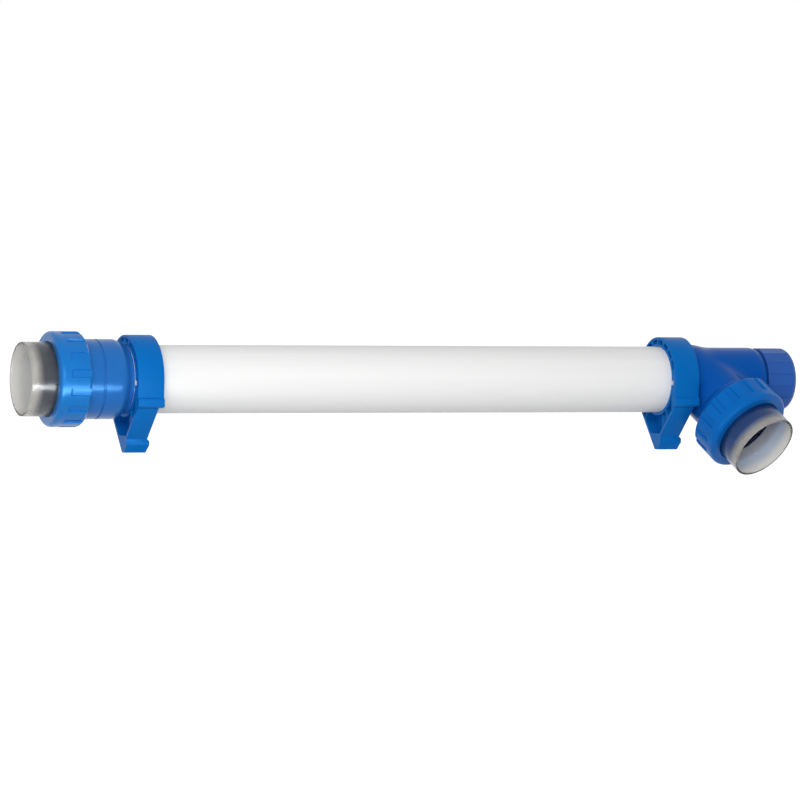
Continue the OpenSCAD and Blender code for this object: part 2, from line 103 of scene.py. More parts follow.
# %% Camera
VIEW_AZIMUTH = math.radians(-22.75)
VIEW_ELEVATION = math.radians(1.56)
VIEW_ROLL = math.radians(0.57)
VIEW_DISTANCE = 6.0
VIEW_LENS = 201.7
VIEW_AIM = np.array([-0.0134, 0, 0.0682])


def make_camera():
    """A camera that looks at VIEW_AIM, backed off along the azimuth and elevation of the photograph."""
    back = np.array([
        math.sin(VIEW_AZIMUTH) * math.cos(VIEW_ELEVATION),
        -math.cos(VIEW_AZIMUTH) * math.cos(VIEW_ELEVATION),
        math.sin(VIEW_ELEVATION),
    ])
    data = bpy.data.cameras.new("camera")
    data.lens = VIEW_LENS
    camera = bpy.data.objects.new("camera", data)
    camera.location = VIEW_AIM + VIEW_DISTANCE * back
    level = Euler((math.pi / 2 - VIEW_ELEVATION, 0, VIEW_AZIMUTH)).to_matrix()
    camera.rotation_euler = (level @ Matrix.Rotation(VIEW_ROLL, 3, "Z")).to_euler()
    bpy.context.scene.collection.objects.link(camera)
    bpy.context.scene.camera = camera
    return camera


camera = make_camera()
print("camera at", [round(x, 3) for x in camera.location])

# %% [markdown]
# ## Studio
# The object hangs in front of plain white. A wide softbox lights it from the front left, and a small
# panel below the inlet shows in gloss only, as the bright line along the left union. One round lamp would
# be simpler, but it would leave a hot spot on the pipe. The world and the floor are white to the eye, to
# gloss and to glass, and only a middling grey to the surfaces they light, so the white doesn't wash the
# colours out. Glass doesn't show the lamps, because a clear tail in front of the key would burn out. The
# floor lies below the outlet, which hangs lower than the feet, and keeps a soft shadow.

# %% Studio
FLOOR_DROP = 0.07
FLOOR_SIZE = 40
WORLD_LIGHT = 0.5
FLOOR_GREY = 0.85
FLOOR_TOP_UP = 0.68
KEY_PLACE, KEY_AIM = (-1.1, -2.4, 0.6), (0, 0, 0.1)
KEY_SIZE, KEY_POWER = (2.4, 1.1), 46
PANEL_PLACE, PANEL_AIM = (-0.55, -0.35, -0.09), (-0.5, -0.2, 0.5)
PANEL_SIZE, PANEL_POWER = (0.6, 0.3), 15


def seen_directly(tree):
    """A socket that is 1 for rays from the camera, from gloss and through glass, and 0 for others."""
    rays = tree.nodes.new("ShaderNodeLightPath")
    either = tree.nodes.new("ShaderNodeMath")
    either.operation = "MAXIMUM"
    tree.links.new(rays.outputs["Is Camera Ray"], either.inputs[0])
    tree.links.new(rays.outputs["Is Glossy Ray"], either.inputs[1])
    any_of = tree.nodes.new("ShaderNodeMath")
    any_of.operation = "MAXIMUM"
    tree.links.new(either.outputs[0], any_of.inputs[0])
    tree.links.new(rays.outputs["Is Transmission Ray"], any_of.inputs[1])
    return any_of.outputs[0]


def make_world():
    """White where it is seen, WORLD_LIGHT where it only lights."""
    world = bpy.data.worlds.new("studio")
    world.use_nodes = True
    bpy.context.scene.world = world
    tree = world.node_tree
    background = tree.nodes["Background"]
    background.inputs["Color"].default_value = (1, 1, 1, 1)
    strength = tree.nodes.new("ShaderNodeMapRange")
    strength.inputs["To Min"].default_value = WORLD_LIGHT
    strength.inputs["To Max"].default_value = 1
    tree.links.new(seen_directly(tree), strength.inputs["Value"])
    tree.links.new(strength.outputs["Result"], background.inputs["Strength"])


def make_floor(height):
    """A wide plane of pale grey paper that glows just enough, where it is seen, to read as white."""
    half = FLOOR_SIZE / 2
    mesh = bpy.data.meshes.new("floor")
    corners = [(-half, -half, height), (half, -half, height), (half, half, height), (-half, half, height)]
    mesh.from_pydata(corners, [], [(0, 1, 2, 3)])
    floor = bpy.data.objects.new("floor", mesh)
    bpy.context.scene.collection.objects.link(floor)
    material = bpy.data.materials.new("floor_paper")
    material.use_nodes = True
    tree = material.node_tree
    shader = tree.nodes["Principled BSDF"]
    shader.inputs["Base Color"].default_value = (FLOOR_GREY, FLOOR_GREY, FLOOR_GREY, 1)
    shader.inputs["Roughness"].default_value = 1
    shader.inputs["Specular IOR Level"].default_value = 0
    shader.inputs["Emission Color"].default_value = (1, 1, 1, 1)
    glow = tree.nodes.new("ShaderNodeMath")
    glow.operation = "MULTIPLY"
    glow.inputs[1].default_value = FLOOR_TOP_UP
    tree.links.new(seen_directly(tree), glow.inputs[0])
    tree.links.new(glow.outputs[0], shader.inputs["Emission Strength"])
    mesh.materials.append(material)


def softbox(name, place, aim, size, power):
    """A rectangular lamp at place that faces aim, hidden from the camera and behind glass."""
    data = bpy.data.lights.new(name, "AREA")
    data.shape = "RECTANGLE"
    data.size, data.size_y = size
    data.energy = power
    lamp = bpy.data.objects.new(name, data)
    lamp.location = place
    direction = Vector(aim) - Vector(place)
    lamp.rotation_euler = direction.to_track_quat("-Z", "Y").to_euler()
    lamp.visible_camera = False
    lamp.visible_transmission = False
    bpy.context.scene.collection.objects.link(lamp)
    return lamp


bpy.context.scene.view_settings.view_transform = "Standard"
make_world()
make_floor(cad_box[0].z - FLOOR_DROP)
softbox("key", KEY_PLACE, KEY_AIM, KEY_SIZE, KEY_POWER)
panel = softbox("low_panel", PANEL_PLACE, PANEL_AIM, PANEL_SIZE, PANEL_POWER)
panel.visible_diffuse = False
print("studio: floor at", round(cad_box[0].z - FLOOR_DROP, 3))

# %% [markdown]
# ## Surfaces from grids
# Nearly every piece here is turned: pipe, fittings, nuts, tails and lamp are outlines carried round an
# axis. A ready-made cylinder would need cutting and bevelling by hand. An outline with rounded corners,
# worked out as one array, gives every edge its radius at once, and a second function can change the
# radius with the angle, which makes grips, flats and threads from the same grid.

# %% Grid helpers
TURN = np.linspace(0, 2 * np.pi, 192, endpoint=False)
SHARP = math.radians(32)
MERGE = 1e-6


def surface(name, points, closed_rows=True):
    """A mesh on a grid of points [row, column, xyz].

    Each quad joins a point to its neighbours in the next row and the next column. The columns always
    close into a ring, and the rows do too unless the first and last row shrink to a point.
    """
    rows, columns = points.shape[:2]
    index = np.arange(rows * columns).reshape(rows, columns)
    index = np.hstack([index, index[:, :1]])
    if closed_rows:
        index = np.vstack([index, index[:1]])
    quads = np.stack([index[:-1, :-1], index[:-1, 1:], index[1:, 1:], index[1:, :-1]], axis=-1)
    mesh = bpy.data.meshes.new(name)
    mesh.from_pydata(points.reshape(-1, 3).tolist(), [], quads.reshape(-1, 4).tolist())
    return clean(mesh)


def clean(mesh):
    """Merges doubled points, turns the faces outwards and keeps only the sharp edges sharp."""
    work = bmesh.new()
    work.from_mesh(mesh)
    bmesh.ops.remove_doubles(work, verts=work.verts, dist=MERGE)
    bmesh.ops.recalc_face_normals(work, faces=work.faces)
    work.to_mesh(mesh)
    work.free()
    mesh.shade_smooth()
    mesh.set_sharp_from_angle(angle=SHARP)
    return mesh


def rounded(corners, steps=6):
    """A closed outline with a curve at each corner (a, b, fillet).

    The curve is the quadratic one that leaves a side a fillet's length before the corner and joins the
    next side the same length after it. A fillet never takes more than half of a side.
    """
    corners = np.asarray(corners, float)
    here, reach = corners[..., :2], corners[..., 2:]
    before = np.roll(here, 1, axis=-2) - here
    after = np.roll(here, -1, axis=-2) - here
    before_len = np.linalg.norm(before, axis=-1, keepdims=True)
    after_len = np.linalg.norm(after, axis=-1, keepdims=True)
    reach = np.minimum(reach, 0.5 * np.minimum(before_len, after_len))
    start = here + before * reach / np.maximum(before_len, MERGE)
    end = here + after * reach / np.maximum(after_len, MERGE)
    t = np.linspace(0, 1, steps)[:, None]
    start, here, end = start[..., None, :], here[..., None, :], end[..., None, :]
    curve = (1 - t) ** 2 * start + 2 * t * (1 - t) * here + t ** 2 * end
    return curve.reshape(*corners.shape[:-2], -1, 2)


def finer(outline, step):
    """The closed outline with extra points, so that no side is longer than the step."""
    closed = np.vstack([outline, outline[:1]])
    side = np.linalg.norm(np.diff(closed, axis=0), axis=1)
    along = np.concatenate([[0], np.cumsum(side)])
    places = np.union1d(along, np.arange(0, along[-1], step))[:-1]
    return np.column_stack([np.interp(places, along, closed[:, i]) for i in (0, 1)])


def turned(name, outline, place, angles=TURN, shape=None):
    """Carries a closed outline of (radius, along), in millimetres, round an axis.

    The point of row i and column j lies at origin + along_i axis + radius_ij (cos t_j side + sin t_j up).
    A shape function may change the radius with the distance along and the angle.
    """
    origin, axis, side, up = place
    radius, along = outline[:, :1], outline[:, 1:]
    radius = radius + 0 * angles if shape is None else shape(radius, along, angles[None, :])
    around = np.cos(angles)[:, None] * side + np.sin(angles)[:, None] * up
    points = origin + MM * (along[..., None] * axis + radius[..., None] * around)
    return surface(name, points)


def axes(origin, axis, side):
    """An origin in metres with the axis, a side vector square to it, and the third one."""
    axis = np.array(axis, float) / np.linalg.norm(axis)
    side = np.array(side, float) - axis * (np.array(side, float) @ axis)
    side = side / np.linalg.norm(side)
    return np.array(origin, float), axis, side, np.cross(axis, side)


def mesh_points(mesh):
    """The mesh's points as an array [point, xyz], in metres."""
    points = np.empty(3 * len(mesh.vertices))
    mesh.vertices.foreach_get("co", points)
    return points.reshape(-1, 3)


def step_up(x, start, end):
    """0 before start, 1 after end, and a smooth rise between them."""
    t = np.clip((x - start) / (end - start), 0, 1)
    return t * t * (3 - 2 * t)


print("grid helpers:", len(TURN), "columns in a turn")

# %% [markdown]
# ## Pieces on bodies
# Each finished mesh stands for one node of the frame, rides on that node's body and takes its finish. It
# could be parented by hand, but the frame's own calls keep mesh, node and body together, so that a joint
# carries every piece that belongs to it.

# %% Piece helper
def piece(mesh, node, material):
    """An object for the mesh that rides on the node's body and is shown in the node's place."""
    made = bpy.data.objects.new(node + "_surface", mesh)
    bpy.context.scene.collection.objects.link(made)
    mesh.materials.clear()
    mesh.materials.append(material)
    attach(made, frame["nodes"][node]["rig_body"])
    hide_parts(node)
    print(made.name, len(mesh.polygons), "faces")
    return made


def finish_node(node, material):
    """Gives a node that is shown as it is its material."""
    mesh = frame["nodes"][node].data
    mesh.materials.clear()
    mesh.materials.append(material)


PIPE_AXIS = axes((0, 0, JOINT["cap_turn"]["pos_m"][2]), (1, 0, 0), (0, 1, 0))
TAIL_LEN = np.ptp(span("inlet_tail"), axis=0)[0]
SOCKET_DEPTH = MOUNT["outlet_socket"]["dims"]["length_mm"]
INLET_AXIS = axes(JOINT["inlet_nut_turn"]["pos_m"], JOINT["inlet_nut_turn"]["axis"], (0, 0, 1))
outlet_dir = np.array(JOINT["outlet_nut_turn"]["axis"])
outlet_face = np.array(MOUNT["outlet_socket"]["pos_m"]) - MM * (TAIL_LEN - SOCKET_DEPTH / 2) * outlet_dir
OUTLET_AXIS = axes(outlet_face, outlet_dir, (1, 0, 0))
print("unions face", INLET_AXIS[0].round(3), OUTLET_AXIS[0].round(3))

# %% [markdown]
# ## Plastics
# The pipe is extruded white PVC and the fittings are injection moulded, so both are dyed right through:
# the colour hardly changes, but the gloss does. A slow noise gives the faint flow marks of the moulding, a
# fine one the texture of the mould, and both stay in the piece's own coordinates. A painted texture would
# need unwrapping and would stretch over the roundings. The moulded blues differ from piece to piece, and
# the outlet nut's blue is a darker, duller copy of the inlet nut's, painted shade for the dimmer light at
# the far end. Their gloss is tinted too, so that the white studio doesn't veil them.

# %% Plastic materials
MID_LOW, MID_HIGH = 0.3, 0.7
FLOW_SCALE, FLOW_DETAIL = 14, 5
GRAIN_DETAIL = 3
GLOSS_SPREAD = 0.15
BLUE_SHINE = (0.2, 0.55, 1.0)


def new_material(name):
    """A material with its node tree and its shader."""
    material = bpy.data.materials.new(name)
    material.use_nodes = True
    return material, material.node_tree, material.node_tree.nodes["Principled BSDF"]


def noise(tree, scale, detail, stretch=(1, 1, 1)):
    """A noise on the object's own coordinates, stretched along its axes."""
    coordinates = tree.nodes.new("ShaderNodeTexCoord")
    mapping = tree.nodes.new("ShaderNodeMapping")
    mapping.inputs["Scale"].default_value = stretch
    texture = tree.nodes.new("ShaderNodeTexNoise")
    texture.inputs["Scale"].default_value = scale
    texture.inputs["Detail"].default_value = detail
    tree.links.new(coordinates.outputs["Object"], mapping.inputs["Vector"])
    tree.links.new(mapping.outputs["Vector"], texture.inputs["Vector"])
    return texture.outputs["Fac"]


def ramp(tree, value, low, high):
    """A colour that goes from low to high as the value goes through its middle range."""
    node = tree.nodes.new("ShaderNodeValToRGB")
    node.color_ramp.elements[0].position = MID_LOW
    node.color_ramp.elements[1].position = MID_HIGH
    node.color_ramp.elements[0].color = (*low, 1)
    node.color_ramp.elements[1].color = (*high, 1)
    tree.links.new(value, node.inputs["Fac"])
    return node.outputs["Color"]


def spread(tree, value, low, high):
    """The value's middle range mapped on to low to high."""
    node = tree.nodes.new("ShaderNodeMapRange")
    node.inputs["From Min"].default_value = MID_LOW
    node.inputs["From Max"].default_value = MID_HIGH
    node.inputs["To Min"].default_value = low
    node.inputs["To Max"].default_value = high
    tree.links.new(value, node.inputs["Value"])
    return node.outputs["Result"]


def bump(tree, shader, value, height):
    """Raises the surface by up to the height, in metres, where the value is 1."""
    node = tree.nodes.new("ShaderNodeBump")
    node.inputs["Distance"].default_value = height
    tree.links.new(value, node.inputs["Height"])
    tree.links.new(node.outputs["Normal"], shader.inputs["Normal"])


def plastic(name, colour, roughness, vary=0.06, grain=1400, height=2e-5, stretch=(1, 1, 1), gloss=0.5,
            shine=(1, 1, 1)):
    """A dyed plastic: slow flow marks in its colour and gloss, and the mould's fine texture."""
    material, tree, shader = new_material(name)
    colour = np.array(colour)
    flow = noise(tree, FLOW_SCALE, FLOW_DETAIL, stretch)
    fine = noise(tree, grain, GRAIN_DETAIL, stretch)
    marks = ramp(tree, flow, colour * (1 - vary), np.minimum(colour * (1 + vary), 1))
    tree.links.new(marks, shader.inputs["Base Color"])
    sheen = spread(tree, flow, roughness * (1 - GLOSS_SPREAD), roughness * (1 + GLOSS_SPREAD))
    tree.links.new(sheen, shader.inputs["Roughness"])
    shader.inputs["Specular IOR Level"].default_value = gloss
    shader.inputs["Specular Tint"].default_value = (*shine, 1)
    bump(tree, shader, fine, height)
    return material


def moulded_blue(name, colour, roughness, gloss):
    """A moulded blue plastic with a blue shine."""
    return plastic(name, colour, roughness, gloss=gloss, shine=BLUE_SHINE)


white_pipe = plastic("white_pipe", (0.83, 0.83, 0.825), 0.46, 0.012, 900, 1.5e-5, (0.15, 6, 6), 0.2)
adaptor_blue = moulded_blue("adaptor_blue", (0.015, 0.13, 0.43), 0.2, 0.35)
nut_blue = moulded_blue("nut_blue", (0.007, 0.155, 0.50), 0.24, 0.42)
# Painted shade: a darker, duller copy of the nut blue for the outlet nut, standing in for dimmer light
# there.
painted_shade_nut_blue = moulded_blue("painted_shade_nut_blue", (0.002, 0.122, 0.455), 0.32, 0.16)
tee_blue = moulded_blue("tee_blue", (0.002, 0.082, 0.385), 0.26, 0.12)
cap_blue = moulded_blue("cap_blue", (0.026, 0.098, 0.38), 0.36, 0.25)
clip_blue = moulded_blue("clip_blue", (0.002, 0.135, 0.465), 0.42, 0.12)
white_moulding = plastic("white_moulding", (0.78, 0.78, 0.76), 0.45, 0.02)
gland_black = plastic("gland_black", (0.016, 0.016, 0.018), 0.5, 0.2)
seal_rubber = plastic("seal_rubber", (0.012, 0.012, 0.012), 0.7, 0.3, 2200, 4e-5)
lamp_ceramic = plastic("lamp_ceramic", (0.80, 0.77, 0.69), 0.22, 0.04)
print("plastics:", [material.name for material in bpy.data.materials])

# %% [markdown]
# ## Clear pieces and metal
# The tails are clear PVC, slightly grey, which darkens where the eye looks along the wall, so part of the
# grey is an absorption inside the wall. A plain glass shader alone would show only the white room behind.
# Two attributes of the mesh shape the tails: a haze on the faces, and a painted shade near the nut, a
# darker colour painted into the wall where the dark fitting lies behind it, and bluish at the outlet. The
# lamps' rays go straight through, or the glass would throw black shadows. The sleeve and the lamp are clear
# glass, the lamp's contacts brass, and the hinge pins drawn steel with fine lines along them.

# %% Clear and metal materials
CLEAR_TINT = (0.70, 0.69, 0.66)
CLEAR_INSIDE, CLEAR_ABSORB = (0.45, 0.44, 0.42), 70
CLEAR_SHINE = (0.5, 0.52, 0.55)
CLEAR_IOR, CLEAR_ROUGH = 1.5, 0.22
# Painted shade: the tails' colour near the nut, painted darker where the fitting lies behind, bluish at the
# outlet.
INLET_PAINTED_SHADE = (0.14, 0.155, 0.185)
OUTLET_PAINTED_SHADE = (0.02, 0.11, 0.40)
MARK_SCALE, MARK_DETAIL, MARK_SPREAD = 30, 4, 0.4
RIPPLE_SCALE, RIPPLE_DETAIL, RIPPLE_HEIGHT = 60, 2, 1e-5
LINE_SCALE, LINE_DETAIL, LINE_HEIGHT = 1500, 3, 5e-6
LINE_DARK, LINE_SPREAD = 0.85, 0.3
ALONG_X = (0.02, 1, 1)


def let_lamps_through(tree, shader):
    """Lets the lamps' rays straight through in the shader's own colour, so that what lies behind is lit."""
    rays = tree.nodes.new("ShaderNodeLightPath")
    open_way = tree.nodes.new("ShaderNodeBsdfTransparent")
    colour = shader.inputs["Base Color"]
    open_way.inputs["Color"].default_value = colour.default_value
    for link in colour.links:
        tree.links.new(link.from_socket, open_way.inputs["Color"])
    either = tree.nodes.new("ShaderNodeMixShader")
    tree.links.new(rays.outputs["Is Shadow Ray"], either.inputs["Fac"])
    tree.links.new(shader.outputs["BSDF"], either.inputs[1])
    tree.links.new(open_way.outputs["BSDF"], either.inputs[2])
    tree.links.new(either.outputs["Shader"], tree.nodes["Material Output"].inputs["Surface"])


def clear(name, tint, ior, roughness, painted_shade=None, absorb=0.0, inside=(1, 1, 1), shine=(1, 1, 1)):
    """A clear solid: tinted on its faces and darker with the path of the light inside it.

    With a painted shade, the mesh's "haze" attribute is the share of light that a face scatters, and its
    "pale" attribute takes the colour from the painted shade, at 0, to the tint, at 1.
    """
    material, tree, shader = new_material(name)
    shader.inputs["Base Color"].default_value = (*tint, 1)
    shader.inputs["Transmission Weight"].default_value = 1
    shader.inputs["IOR"].default_value = ior
    shader.inputs["Specular Tint"].default_value = (*shine, 1)
    if painted_shade:
        pale, haze = (tree.nodes.new("ShaderNodeAttribute") for _ in range(2))
        pale.attribute_name, haze.attribute_name = "pale", "haze"
        through = tree.nodes.new("ShaderNodeMath")
        through.operation = "SUBTRACT"
        through.inputs[0].default_value = 1
        tree.links.new(haze.outputs["Fac"], through.inputs[1])
        tree.links.new(through.outputs[0], shader.inputs["Transmission Weight"])
        # Painted shade: the ramp paints the darker colour on the wall near the nut.
        tree.links.new(ramp(tree, pale.outputs["Fac"], painted_shade, tint), shader.inputs["Base Color"])
    let_lamps_through(tree, shader)
    marks = noise(tree, MARK_SCALE, MARK_DETAIL)
    sheen = spread(tree, marks, roughness * (1 - MARK_SPREAD), roughness * (1 + MARK_SPREAD))
    tree.links.new(sheen, shader.inputs["Roughness"])
    bump(tree, shader, noise(tree, RIPPLE_SCALE, RIPPLE_DETAIL), RIPPLE_HEIGHT)
    if absorb:
        volume = tree.nodes.new("ShaderNodeVolumeAbsorption")
        volume.inputs["Color"].default_value = (*inside, 1)
        volume.inputs["Density"].default_value = absorb
        tree.links.new(volume.outputs["Volume"], tree.nodes["Material Output"].inputs["Volume"])
    return material


def metal(name, colour, roughness, stretch):
    """A drawn metal: lines along the drawing direction in its gloss and its height."""
    material, tree, shader = new_material(name)
    shader.inputs["Metallic"].default_value = 1
    lines = noise(tree, LINE_SCALE, LINE_DETAIL, stretch)
    colour = np.array(colour)
    tree.links.new(ramp(tree, lines, colour * LINE_DARK, colour), shader.inputs["Base Color"])
    sheen = spread(tree, lines, roughness * (1 - LINE_SPREAD), roughness * (1 + LINE_SPREAD))
    tree.links.new(sheen, shader.inputs["Roughness"])
    bump(tree, shader, lines, LINE_HEIGHT)
    return material


def clear_pvc(name, painted_shade):
    """The tails' clear PVC, with a painted shade at the nut in the colour of the fitting behind it."""
    return clear(name, CLEAR_TINT, CLEAR_IOR, CLEAR_ROUGH, painted_shade, CLEAR_ABSORB, CLEAR_INSIDE, CLEAR_SHINE)


clear_inlet = clear_pvc("clear_inlet", INLET_PAINTED_SHADE)
clear_outlet = clear_pvc("clear_outlet", OUTLET_PAINTED_SHADE)
quartz = clear("quartz", (0.97, 0.985, 0.99), 1.46, 0.01)
lamp_glass = clear("lamp_glass", (0.86, 0.89, 0.91), 1.48, 0.02, absorb=60, inside=(0.5, 0.55, 0.6))
contact_metal = metal("contact_metal", (0.75, 0.6, 0.3), 0.28, ALONG_X)
hinge_steel = metal("hinge_steel", (0.62, 0.62, 0.64), 0.3, ALONG_X)
print("finishes so far:", len(bpy.data.materials))

# %% [markdown]
# ## Reactor pipe
# A length of pressure pipe, cut square and with its edges broken. A cylinder with a Solidify modifier
# would give the same wall, but one outline of four corners also breaks the edges.

# %% Reactor pipe
pipe_low, pipe_high = span("reactor_tube")
PIPE_R = (pipe_high - pipe_low)[1] / 2
PIPE_END = pipe_high[0]
PIPE_WALL = 4.3
EDGE_BREAK = 0.6


def pipe_outline():
    """The pipe's wall as a long rectangle with broken edges."""
    return rounded([
        (PIPE_R - PIPE_WALL, -PIPE_END, EDGE_BREAK),
        (PIPE_R, -PIPE_END, EDGE_BREAK),
        (PIPE_R, PIPE_END, EDGE_BREAK),
        (PIPE_R - PIPE_WALL, PIPE_END, EDGE_BREAK),
    ])


piece(turned("reactor_tube", pipe_outline(), PIPE_AXIS), "reactor_tube", white_pipe)

# %% [markdown]
# ## Threads
# A thread is a ridge that climbs one pitch in each turn. On a turned grid it is a change of radius that
# depends on the distance along the axis less the angle's share of the pitch, so it stays a true helix. A
# Screw modifier could sweep it too, but its ends would stand off the neck.

# %% Threads
PITCH = 4.0
THREAD_HEIGHT = 1.5
THREAD_HALF, THREAD_FLANK = 0.4, 0.3
THREAD_STEP = 0.9


def thread(along, angle, start, end):
    """Height of the ridge, from 0 to THREAD_HEIGHT, fading out over half a pitch at both ends.

    The phase is (along - pitch times angle over a turn) over the pitch. The ridge is a crest a fifth of
    the pitch wide with straight flanks; THREAD_HALF and THREAD_FLANK are shares of the pitch.
    """
    phase = np.mod(along / PITCH - angle / (2 * np.pi), 1)
    ridge = np.clip((THREAD_HALF - np.abs(phase - 0.5)) / THREAD_FLANK, 0, 1)
    fade = step_up(along, start, start + PITCH / 2) * (1 - step_up(along, end - PITCH / 2, end))
    return THREAD_HEIGHT * ridge * fade


print("thread:", PITCH, "mm pitch,", THREAD_HEIGHT, "mm high")

# %% [markdown]
# ## Unions
# Each water port is a union: a threaded neck with a rubber ring in its face, a clear tail whose flange
# lies on the ring, and a nut that pulls the two together. All are outlines in one frame, whose zero is the
# tail's sealing face and whose axis leaves the fitting. So both ports come from one set of outlines, where
# copies of meshes would have to be turned into place.

# %% Union sizes
FLOW_R = 40.0
FACE_GAP = 0.3
tail_low, tail_high = span("inlet_tail")
FLANGE_R = (tail_high - tail_low)[1] / 2
FLANGE_STEP = 3.0
TAIL_R = FLANGE_R - FLANGE_STEP
FLANGE_T = 8.0
SOCKET_R = MOUNT["inlet_socket"]["dims"]["r_mm"]
THREAD_ROOT = FLANGE_R - 1
NECK_LEN = 28.0
RING_SEAT_R = (FLOW_R + THREAD_ROOT) / 2
RING_R = 2.0
RING_SEAT_GAP = 0.35
RING_DEPTH = 2 * RING_R + FACE_GAP + RING_SEAT_GAP
print("union: tail", round(2 * TAIL_R, 1), "mm across, flange", round(2 * FLANGE_R, 1))

# %% [markdown]
# ## Clear tails
# A tail is a short clear pipe with a flange at one end and a socket for the pond's pipe at the other. A
# lathe tool could cut it, and here its outline is turned in the same way. Its haze and its painted shade,
# a darker colour near the nut, follow the distance to the nut, so they are worked out on the points rather
# than in a texture.

# %% Clear tails
PALE_FROM_TO = (20, 60)
HAZE_INSIDE = 0.65
HAZE_OUTSIDE = 0.16
MOUTH_ROUND = 1.1


def tail_outline():
    """Flange, barrel, rounded mouth and the solvent socket with its ledge."""
    ledge = TAIL_LEN - SOCKET_DEPTH
    return rounded([
        (FLOW_R, 0, 0.4),
        (FLANGE_R, 0, 0.6),
        (FLANGE_R, FLANGE_T, 0.6),
        (TAIL_R, FLANGE_T, 0.5),
        (TAIL_R, TAIL_LEN, MOUTH_ROUND),
        (SOCKET_R, TAIL_LEN, MOUTH_ROUND),
        (SOCKET_R, ledge, 0.4),
        (FLOW_R, ledge, 0.6),
    ])


def mark_tail(mesh, place):
    """Writes the tail's "pale" and "haze" attributes.

    Pale is 1 inside, and outside rises smoothly from 0 at the nut, where the tail's colour is painted
    darker as a shade, to 1 towards the mouth. Haze is pale times the share of light that the inside or the
    outside scatters. The mouth's rim is left clear.
    """
    from_face = (mesh_points(mesh) - place[0]) / MM
    along = from_face @ place[1]
    radius = np.linalg.norm(from_face - along[:, None] * place[1], axis=1)
    inner = radius < SOCKET_R + 1
    # Painted shade: pale is 0 where the tail's colour is painted darker near the nut.
    pale = np.where(inner, along > FLANGE_T, step_up(along, *PALE_FROM_TO))
    haze = pale * np.where(inner, HAZE_INSIDE, HAZE_OUTSIDE) * (along < TAIL_LEN - MOUTH_ROUND)
    mesh.attributes.new("pale", "FLOAT", "POINT").data.foreach_set("value", pale)
    mesh.attributes.new("haze", "FLOAT", "POINT").data.foreach_set("value", haze)
    return mesh


for port, place, material in (("inlet", INLET_AXIS, clear_inlet), ("outlet", OUTLET_AXIS, clear_outlet)):
    tail = mark_tail(turned(port + "_tail", finer(tail_outline(), 2), place), place)
    piece(tail, port + "_tail", material)

# %% [markdown]
# ## Union nuts
# The nut is a deep ring with a large rounding at its open face and sixteen grip recesses that run out at
# its back. Sixteen booleans could cut them. Here each recess is a place where the radius drops to a floor:
# the columns crowd at its two walls, so the walls stay steep, and the floor fades into the rounding.

# %% Union nuts
nut_low, nut_high = span("inlet_union_nut")
NUT_R = (nut_high - nut_low)[1] / 2
NUT_FRONT = INLET_AXIS[0][0] / MM - nut_low[0]
NUT_BACK = INLET_AXIS[0][0] / MM - nut_high[0]
NUT_LIP = 8.0
NUT_BORE = FLANGE_R + 0.9
NUT_OPENING = TAIL_R + 0.5
NUT_ROUND = NUT_R - NUT_OPENING - 1
GRIPS = 16
GRIP_DEPTH = 2.5
GRIP_STOP = NUT_FRONT - NUT_ROUND - 2
GRIP_PITCH = 360 / GRIPS
GRIP_TURN = 8.0
GRIP_COLUMNS = np.array([
    -11.25, -8, -5.6, -4.95, -4.75, -4.45, -4.25, -2,
    0, 2, 4.25, 4.45, 4.75, 4.95, 5.6, 8,
])
GRIP_CUT = np.array([0, 0, 0, 0, 0.12, 0.88, 1, 1, 1, 1, 1, 0.88, 0.12, 0, 0, 0])


def grip_angles():
    """The columns of one recess, repeated round the nut, in radians."""
    turns = GRIP_TURN + GRIP_PITCH * np.arange(GRIPS)[:, None]
    return np.radians((turns + GRIP_COLUMNS).ravel())


def grip_shape(radius, along, angle):
    """Lowers the radius to the recess floor inside each grip, behind the rounding."""
    floor = NUT_R - GRIP_DEPTH
    cut = np.tile(GRIP_CUT, GRIPS)[None, :] * (1 - step_up(along, GRIP_STOP - 1.2, GRIP_STOP + 0.6))
    return radius - np.clip(radius - floor, 0, None) * cut + 0 * angle


def nut_outline():
    """Chamfered back, rounded front, opening, lip and the thread's plain bore."""
    return finer(rounded([
        (NUT_BORE + 1.2, NUT_BACK, 0.5),
        (NUT_R - 3.5, NUT_BACK, 0.8),
        (NUT_R, NUT_BACK + 3.5, 1.4),
        (NUT_R, NUT_FRONT, NUT_ROUND),
        (NUT_OPENING, NUT_FRONT, 1.0),
        (NUT_OPENING, NUT_FRONT - NUT_LIP, 0.4),
        (NUT_BORE, NUT_FRONT - NUT_LIP, 0.4),
        (NUT_BORE, NUT_BACK + 1.2, 0.4),
    ], steps=9), 1.2)


# The outlet nut takes the painted-shade copy of the nut blue.
for port, place, material in (("inlet", INLET_AXIS, nut_blue), ("outlet", OUTLET_AXIS, painted_shade_nut_blue)):
    nut = turned(port + "_union_nut", nut_outline(), place, grip_angles(), grip_shape)
    piece(nut, port + "_union_nut", material)

# %% [markdown]
# ## Inlet adaptor
# A blue reducer glued into the pipe. From the pipe outwards it has a shoulder, a rounding, a barrel, a
# groove, a collar and the threaded neck, whose face holds the rubber ring. Stacked cylinders would leave
# bare steps, so it is one outline with a fillet at each corner.

